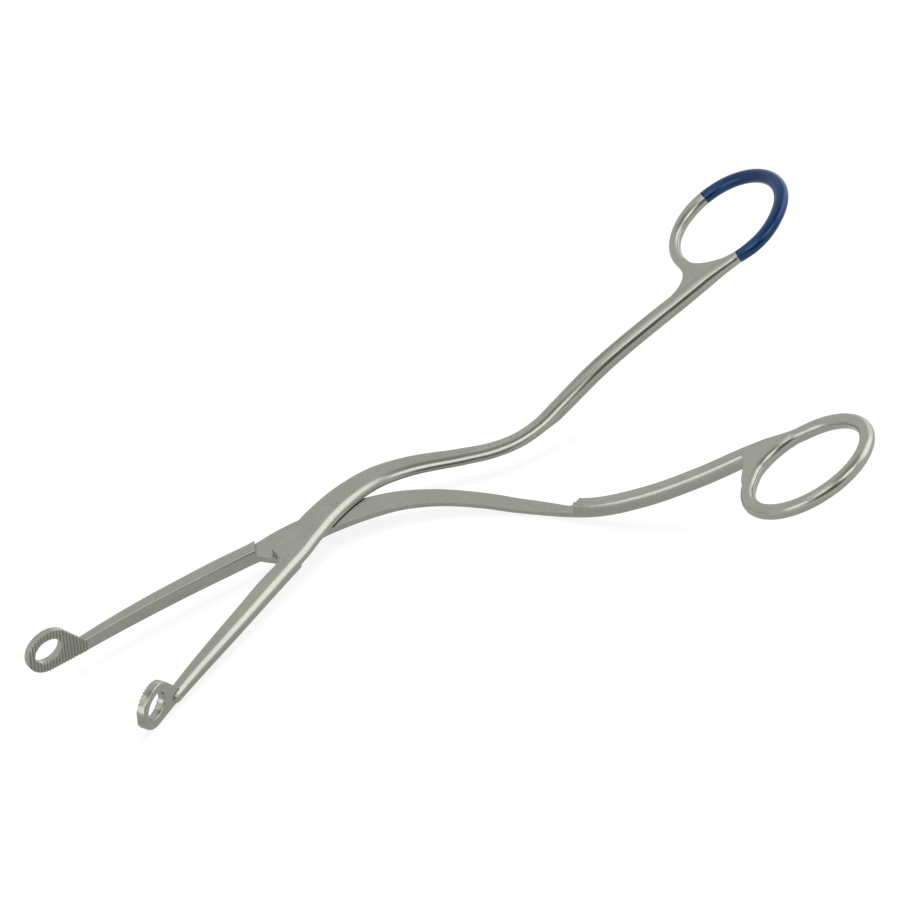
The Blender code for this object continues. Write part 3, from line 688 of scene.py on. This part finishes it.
# %% A socket that can do arithmetic
class Value:
    def __init__(self, graph, socket):
        self.graph, self.socket = graph, socket

    def _math(self, operation, other):
        return self.graph.node("ShaderNodeMath", {"operation": operation}, {0: self, 1: other})

    def __add__(self, other): return self._math("ADD", other)
    def __sub__(self, other): return self._math("SUBTRACT", other)
    def __rsub__(self, other): return self.graph.value(other)._math("SUBTRACT", self)
    def __mul__(self, other): return self._math("MULTIPLY", other)
    def over(self, edge): return self._math("GREATER_THAN", edge)
    def most(self, other): return self._math("MAXIMUM", other)


class Graph:
    """The nodes of one material or world."""

    def __init__(self, tree):
        self.tree = tree
        tree.nodes.clear()

    def node(self, kind, settings=None, inputs=None, out=0):
        """One new node: its settings, its inputs as values or links, and the output that is wanted."""
        made = self.tree.nodes.new(kind)
        for key, given in (settings or {}).items():
            setattr(made, key, given)
        for key, given in (inputs or {}).items():
            socket = made.inputs[key]
            if isinstance(given, Value):
                self.tree.links.new(given.socket, socket)
            else:
                socket.default_value = given
        return Value(self, made.outputs[out]) if made.outputs else None

    def value(self, number):
        made = self.tree.nodes.new("ShaderNodeValue")
        made.outputs[0].default_value = number
        return Value(self, made.outputs[0])

    def mix(self, share, first, second):
        """Mix two colours; each is a colour link or three numbers."""
        full = [c if isinstance(c, Value) else (*c, 1) for c in (first, second)]
        return self.node("ShaderNodeMix", {"data_type": "RGBA"}, {0: share, 6: full[0], 7: full[1]}, out=2)

    def noise(self, place, scale, detail=3.0, rough=0.5):
        return self.node("ShaderNodeTexNoise", None,
                         {"Vector": place, "Scale": scale, "Detail": detail, "Roughness": rough})

    def span(self, value, low, high, to_low, to_high):
        """Carry low..high over to to_low..to_high and hold it there."""
        return self.node("ShaderNodeMapRange", None, {0: value, 1: low, 2: high, 3: to_low, 4: to_high})


def material(name):
    made = bpy.data.materials.new(name)
    made.use_nodes = True
    return made, Graph(made.node_tree)


# %% [markdown]
# Ground and bead-blasted steel is one even grey, but never quite: the blasting leaves a grain finer than a
# tenth of a millimetre, the belt leaves faint long scratches, and handling leaves soft cloudy patches that
# are a little smoother. The grain goes into a bump, the clouds into the roughness and the colour. Creases and
# the grooves between the teeth get painted shade in the colour, and a Bevel node rounds off every sharp edge
# a little.

# %% Satin steel
def satin_steel(name, colour, rough, grain=1.0):
    made, g = material(name)
    shaded = lambda share: [c * share for c in colour]
    place = g.node("ShaderNodeTexCoord", out="Object")
    long_place = g.node("ShaderNodeMapping", None,
                        {"Vector": place, "Rotation": (0, 0, math.radians(12)), "Scale": (40, 900, 900)})
    clouds = g.noise(place, 70, 3)
    bead = g.noise(place, 4200, 2, 0.6)
    scratch = g.noise(long_place, 1.0, 4, 0.6)
    tint = g.span(clouds, 0.3, 0.7, 0.0, 1.0)
    shade = g.mix(tint, shaded(0.93), shaded(1.05))
    shade = g.mix(g.span(scratch, 0.35, 0.75, 0.0, 0.22), shade, shaded(0.72))
    mottle = g.noise(place, 1700, 3, 0.65)
    shade = g.mix(g.span(mottle, 0.32, 0.68, 0.0, 0.5), shade, shaded(0.72))
    # painted shade: creases and the grooves between the teeth are darkened where little of the sky reaches
    # them
    painted_shade_occlusion = g.node("ShaderNodeAmbientOcclusion", {"samples": 8}, {"Distance": 1.1 * MM}, out=1)
    shade = g.mix(g.span(painted_shade_occlusion, 0.45, 0.9, 0.62, 0.0), shade, shaded(0.3))
    roughness = g.span(clouds, 0.3, 0.7, rough - 0.03, rough + 0.04) + (bead + mottle - 1) * 0.08
    soft = g.node("ShaderNodeBevel", {"samples": 6}, {"Radius": 0.16 * MM})
    height = bead * 0.6 + scratch * 0.5 + mottle * 1.2
    normal = g.node("ShaderNodeBump", None,
                    {"Strength": 0.10 * grain, "Distance": 0.02 * MM, "Height": height, "Normal": soft})
    shader = g.node("ShaderNodeBsdfPrincipled", None,
                    {"Base Color": shade, "Metallic": 1.0, "Roughness": roughness, "Normal": normal})
    g.node("ShaderNodeOutputMaterial", None, {"Surface": shader})
    return made


STEEL = (0.47, 0.47, 0.417)
body_steel = satin_steel("satin_steel", STEEL, 0.19)
screw_steel = satin_steel("turned_steel", (0.46, 0.46, 0.42), 0.22, 0.5)
print("steel nodes", len(body_steel.node_tree.nodes))

# %% [markdown]
# The ring is dipped in a glossy blue lacquer. Real lacquer is a tinted film over steel with a clear gloss on
# top: deep blue, nearly black where it is thick, with sharp pale streaks. A dark blue metallic base with a
# thin clear coat gives that. It is never level, so a slow wave is added to its surface, and a few specks of
# dust.

# %% Blue lacquer
def blue_lacquer(name):
    made, g = material(name)
    place = g.node("ShaderNodeTexCoord", out="Object")
    film = g.noise(place, 90, 2)
    shade = g.mix(g.span(film, 0.3, 0.7, 0, 1), (0.004, 0.030, 0.105), (0.008, 0.048, 0.150))
    dust = g.node("ShaderNodeTexVoronoi", None, {"Vector": place, "Scale": 420.0})
    speck = 1 - dust.over(0.10)
    shade = g.mix(speck * 0.35, shade, (0.03, 0.07, 0.2))
    roughness = g.span(g.noise(place, 300, 3), 0.3, 0.7, 0.12, 0.18)
    normal = g.node("ShaderNodeBump", None, {"Strength": 0.12, "Distance": 0.15 * MM,
                                             "Height": g.noise(place, 160, 1)})
    shader = g.node("ShaderNodeBsdfPrincipled", None,
                    {"Base Color": shade, "Roughness": roughness, "Normal": normal, "Coat Weight": 0.4,
                     "Coat Roughness": 0.03, "Metallic": 0.85})
    g.node("ShaderNodeOutputMaterial", None, {"Surface": shader})
    return made


lacquer_blue = blue_lacquer("blue_lacquer_gloss")
for piece, finish in ((front_steel, body_steel), (back_steel, body_steel), (turned_screw, screw_steel),
                      (blue_coat, lacquer_blue)):
    piece.data.materials.clear()
    piece.data.materials.append(finish)
    piece.data.polygons.foreach_set("material_index", [0] * len(piece.data.polygons))

# %% [markdown]
# The CAD nodes are hidden behind these pieces, but they keep a finish of their own, so that the model still
# looks right if a node is ever shown.

# %% Finish of the hidden CAD nodes
for node, finish in (("front_half", body_steel), ("back_half", body_steel), ("pivot_screw", screw_steel),
                     ("blue_ring_coat", lacquer_blue)):
    carried = frame["nodes"][node]
    carried.data.materials.clear()
    carried.data.materials.append(finish)

# %% [markdown]
# The studio is a white sheet under a wide soft light. What the camera and the steel see of the sheet is
# mostly light of its own, so the background stays white and only a faint shadow is left. In what the steel
# mirrors, the sheet's glow is painted darker close to the metal, a painted shadow that goes by ray length.

# %% Floor
FLOOR = 3.0                 # half size in metres
# painted shadow: reach of the darkening near the metal in the sheet that the steel mirrors
PAINTED_SHADOW_REACH = (0.008, 0.07)      # the sheet's mirror image brightens over this distance, in metres
OWN_LIGHT = 0.86            # share of the sheet's own light in what the camera sees
MIRRORED_MORE = 0.12        # and how much more of it the steel sees
corners = [(-FLOOR, -FLOOR, 0), (FLOOR, -FLOOR, 0), (FLOOR, FLOOR, 0), (-FLOOR, FLOOR, 0)]
floor_mesh = bpy.data.meshes.new("white_sheet")
floor_mesh.from_pydata(corners, [], [(0, 1, 2, 3)])
floor = bpy.data.objects.new("white_sheet", floor_mesh)
floor.location.z = -0.0002
bpy.context.scene.collection.objects.link(floor)

sheet_material, g = material("white_sheet")
ray = {name: g.node("ShaderNodeLightPath", out=name)
       for name in ("Is Camera Ray", "Is Glossy Ray", "Is Transmission Ray", "Ray Length")}
# painted shadow: the glow the steel mirrors is darker where the ray from the metal is short
near = 1 - g.span(ray["Ray Length"], *PAINTED_SHADOW_REACH, 0.0, 1.0)
mirrored = ray["Is Glossy Ray"]
tone = g.mix(mirrored, (1, 1, 1), g.mix(near, (0.76, 0.76, 0.75), (0.58, 0.58, 0.57)))
paper = g.node("ShaderNodeBsdfDiffuse", None, {"Color": (0.86, 0.86, 0.86, 1)})
glow = g.node("ShaderNodeEmission", None, {"Color": tone, "Strength": 1.0})
direct = ray["Is Camera Ray"].most(mirrored).most(ray["Is Transmission Ray"])
lit = g.node("ShaderNodeMixShader", None,
             {0: direct * OWN_LIGHT + mirrored * MIRRORED_MORE, 1: paper, 2: glow})
g.node("ShaderNodeOutputMaterial", None, {"Surface": lit})
floor_mesh.materials.append(sheet_material)

# %% [markdown]
# Metal shows nothing but its surroundings, so the surroundings are designed. The sky is an even grey with a
# few round patches: a large bright panel to the right of the camera makes the long highlights, smaller ones
# light the other edges, and two dark ones stand for the camera's side of the room and its ceiling. The camera
# itself sees plain white.

# %% World
world = bpy.data.worlds.new("studio")
bpy.context.scene.world = world
world.use_nodes = True
g = Graph(world.node_tree)
direction = g.node("ShaderNodeTexCoord", out="Generated")
SKY = 0.74                  # the even grey
SKY_LEAST = 0.12            # no patch makes it darker than this
# azimuth, elevation, inner and outer radius in degrees, and how much brighter or darker it is there
PANELS = [(-31, 34, 12, 34, 1.05),          # the main light
          (8, 12, 18, 30, 0.50),            # a low one next to it
          (-98, 46, 12, 20, 1.10),          # one on each side of the camera
          (-160, 46, 10, 18, 0.90),
          (171, 16, 13, 21, 0.90),          # two on the left, low and high
          (150, 62, 8, 17, 0.40),
          (-127, 14, 16, 38, -0.56),        # the dark side of the room, below the camera
          (-70, 82, 12, 30, -0.34)]         # the dark ceiling


def panel(azimuth, elevation, inner, outer):
    """1 inside a round patch of the sky, falling to 0 at its rim."""
    a, e = math.radians(azimuth), math.radians(elevation)
    aim = (math.cos(a) * math.cos(e), math.sin(a) * math.cos(e), math.sin(e))
    cosine = g.node("ShaderNodeVectorMath", {"operation": "DOT_PRODUCT"}, {0: direction, 1: aim}, out=1)
    rim, full = math.cos(math.radians(outer)), math.cos(math.radians(inner))
    return g.node("ShaderNodeMapRange", {"interpolation_type": "SMOOTHSTEP"},
                  {0: cosine, 1: rim, 2: full, 3: 0.0, 4: 1.0})


sky = g.value(SKY)
for azimuth, elevation, inner, outer, gain in PANELS:
    sky = sky + panel(azimuth, elevation, inner, outer) * gain
camera_ray = g.node("ShaderNodeLightPath", out="Is Camera Ray")
strength = sky.most(SKY_LEAST) * (1 - camera_ray) + camera_ray
back = g.node("ShaderNodeBackground", None, {"Color": (1, 1, 1, 1), "Strength": strength})
g.node("ShaderNodeOutputWorld", None, {"Surface": back})


# one soft box overhead makes the shadow; the steel doesn't show it
BOX_AT, BOX_SIZE, BOX_WATTS = Vector((0.05, 0.0, 0.9)), 0.55, 7.0
light = bpy.data.lights.new("overhead", "AREA")
light.shape = "RECTANGLE"
light.size, light.size_y = BOX_SIZE, BOX_SIZE
light.energy = BOX_WATTS
lamp = bpy.data.objects.new("overhead", light)
lamp.location = BOX_AT
lamp.rotation_euler = (-BOX_AT).to_track_quat("-Z", "Y").to_euler()
lamp.visible_glossy = False
bpy.context.scene.collection.objects.link(lamp)
print("sky patches", len(PANELS), "and one soft box of", BOX_WATTS, "watts")

# %% [markdown]
# The camera stands where the photographer's did, about a metre away with a long lens, so the far ring is
# hardly smaller than the pads. Its place and turn are written in the forceps' own axes at the pivot, and are
# laid down on the table with them.

# %% Camera
CAMERA_FROM = (-622.115, -581.809, 674.308)     # millimetres from the pivot
CAMERA_RIGHT = (0.62406, -0.78041, -0.03885)
CAMERA_UP = (0.49300, 0.35468, 0.79445)
LENS = 162.125                                  # millimetres, on a sensor of 36
right, up = Vector(CAMERA_RIGHT).normalized(), Vector(CAMERA_UP).normalized()
turn = Matrix((right, up, right.cross(up))).transposed().to_4x4()
camera = bpy.data.objects.new("camera", bpy.data.cameras.new("camera"))
bpy.context.scene.collection.objects.link(camera)
stand = Matrix.Translation(Vector(CAMERA_FROM) * MM)
camera.matrix_world = Matrix.Translation(pivot) @ LAID @ stand @ turn
camera.data.lens = LENS
camera.data.sensor_width = 36
camera.data.clip_end = 20
bpy.context.scene.camera = camera
bpy.context.scene.view_settings.view_transform = "Standard"
print("camera", tuple(round(c, 3) for c in camera.matrix_world.translation))
